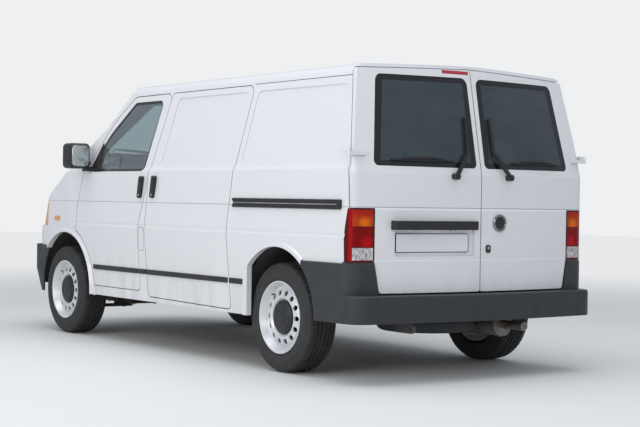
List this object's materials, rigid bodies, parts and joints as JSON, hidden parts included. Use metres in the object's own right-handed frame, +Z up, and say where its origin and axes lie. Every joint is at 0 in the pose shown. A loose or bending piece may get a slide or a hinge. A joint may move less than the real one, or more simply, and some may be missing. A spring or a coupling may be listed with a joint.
{
  "type": "panel van",
  "caption": "Compact panel van with a sliding side door, twin rear doors, opening cab doors and bonnet, steered front wheels and a hollow load space.",
  "frame": {"origin": "centre of the footprint on the ground under the van", "axes": "+X forward, +Y to the van's left, +Z up"},
  "size_m": [4.6395, 2.172, 1.8492],
  "materials": {
    "body_paint": "gloss white paint",
    "glass": "dark tinted, polished",
    "black_trim": "moulded, fine grain",
    "bumper_plastic": "moulded charcoal, fine grain",
    "cabin_plastic": "moulded, fine grain",
    "lamp_lens": "clear, amber and red lenses",
    "seat_cloth": "woven cloth",
    "underbody": "dark underbody paint",
    "chassis_steel": "dull dark steel",
    "cast_parts": "as cast",
    "tyre": "black rubber",
    "rim_silver": "silver paint"
  },
  "bodies": {
    "chassis": {"dashboard": "cabin_plastic", "engine": "cast_parts", "floor_pan": "underbody", "front_axle": "chassis_steel", "front_bumper": "bumper_plastic", "grille": "black_trim", "lamps": "lamp_lens", "nose_panel": "body_paint", "rear_axle": "chassis_steel", "rear_bumper": "bumper_plastic", "roof": "body_paint", "screen_surround": "body_paint", "seats": "seat_cloth", "side_left": "body_paint", "side_right": "body_paint", "side_trim": "black_trim", "sliding_door": "body_paint", "steering_wheel": "cabin_plastic", "underfloor_parts": "chassis_steel", "windscreen": "glass", "wings": "body_paint"},
    "bonnet": {"bonnet": "body_paint"},
    "fuel_flap": {"fuel_flap": "body_paint"},
    "cab_door_left": {"cab_door_left": "body_paint", "cab_glass_left": "glass", "door_fittings_left": "black_trim"},
    "rear_door_left": {"rear_door_left": "body_paint", "rear_glass_left": "glass", "rear_fittings_left": "black_trim"},
    "knuckle_left": {"knuckle_left": "cast_parts"},
    "wheel_front_left": {"tyre_front_left": "tyre", "rim_front_left": "rim_silver"},
    "wheel_rear_left": {"tyre_rear_left": "tyre", "rim_rear_left": "rim_silver"},
    "cab_door_right": {"cab_door_right": "body_paint", "cab_glass_right": "glass", "door_fittings_right": "black_trim"},
    "rear_door_right": {"rear_door_right": "body_paint", "rear_glass_right": "glass", "rear_fittings_right": "black_trim"},
    "knuckle_right": {"knuckle_right": "cast_parts"},
    "wheel_front_right": {"tyre_front_right": "tyre", "rim_front_right": "rim_silver"},
    "wheel_rear_right": {"tyre_rear_right": "tyre", "rim_rear_right": "rim_silver"}
  },
  "joints": [
    {"name": "cab_door_left_hinge", "type": "hinge", "parent": "chassis", "child": "cab_door_left", "pos_m": [1.271, 0.922, 0.8], "axis": [0, 0, -1], "range_deg": [0, 65]},
    {"name": "rear_door_left_hinge", "type": "hinge", "parent": "chassis", "child": "rear_door_left", "pos_m": [-2.17, 0.922, 1.2], "axis": [0, 0, -1], "range_deg": [0, 180]},
    {"name": "cab_door_right_hinge", "type": "hinge", "parent": "chassis", "child": "cab_door_right", "pos_m": [1.271, -0.922, 0.8], "axis": [0, 0, 1], "range_deg": [0, 65]},
    {"name": "rear_door_right_hinge", "type": "hinge", "parent": "chassis", "child": "rear_door_right", "pos_m": [-2.17, -0.922, 1.2], "axis": [0, 0, 1], "range_deg": [0, 180]},
    {"name": "bonnet_hinge", "type": "hinge", "parent": "chassis", "child": "bonnet", "pos_m": [1.428, 0, 1.325], "axis": [0, -1, 0], "range_deg": [0, 50]},
    {"name": "fuel_flap_hinge", "type": "hinge", "parent": "chassis", "child": "fuel_flap", "pos_m": [0.28, 0.9235, 0.753], "axis": [0, 0, -1], "range_deg": [0, 85]},
    {"name": "steer_left", "type": "hinge", "parent": "chassis", "child": "knuckle_left", "pos_m": [1.495, 0.705, 0.21], "axis": [0, -0.1587, 0.9873], "range_deg": [-35, 35]},
    {"name": "wheel_front_left_spin", "type": "hinge", "parent": "knuckle_left", "child": "wheel_front_left", "pos_m": [1.495, 0.79, 0.332], "axis": [0, 1, 0], "continuous": true},
    {"name": "wheel_rear_left_spin", "type": "hinge", "parent": "chassis", "child": "wheel_rear_left", "pos_m": [-1.425, 0.775, 0.332], "axis": [0, 1, 0], "continuous": true},
    {"name": "steer_right", "type": "hinge", "parent": "chassis", "child": "knuckle_right", "pos_m": [1.495, -0.705, 0.21], "axis": [0, 0.1587, 0.9873], "range_deg": [-35, 35]},
    {"name": "wheel_front_right_spin", "type": "hinge", "parent": "knuckle_right", "child": "wheel_front_right", "pos_m": [1.495, -0.79, 0.332], "axis": [0, 1, 0], "continuous": true},
    {"name": "wheel_rear_right_spin", "type": "hinge", "parent": "chassis", "child": "wheel_rear_right", "pos_m": [-1.425, -0.775, 0.332], "axis": [0, 1, 0], "continuous": true}
  ],
  "couplings": [
    {"joint": "steer_right", "follows": "steer_left", "ratio": 1}
  ]
}
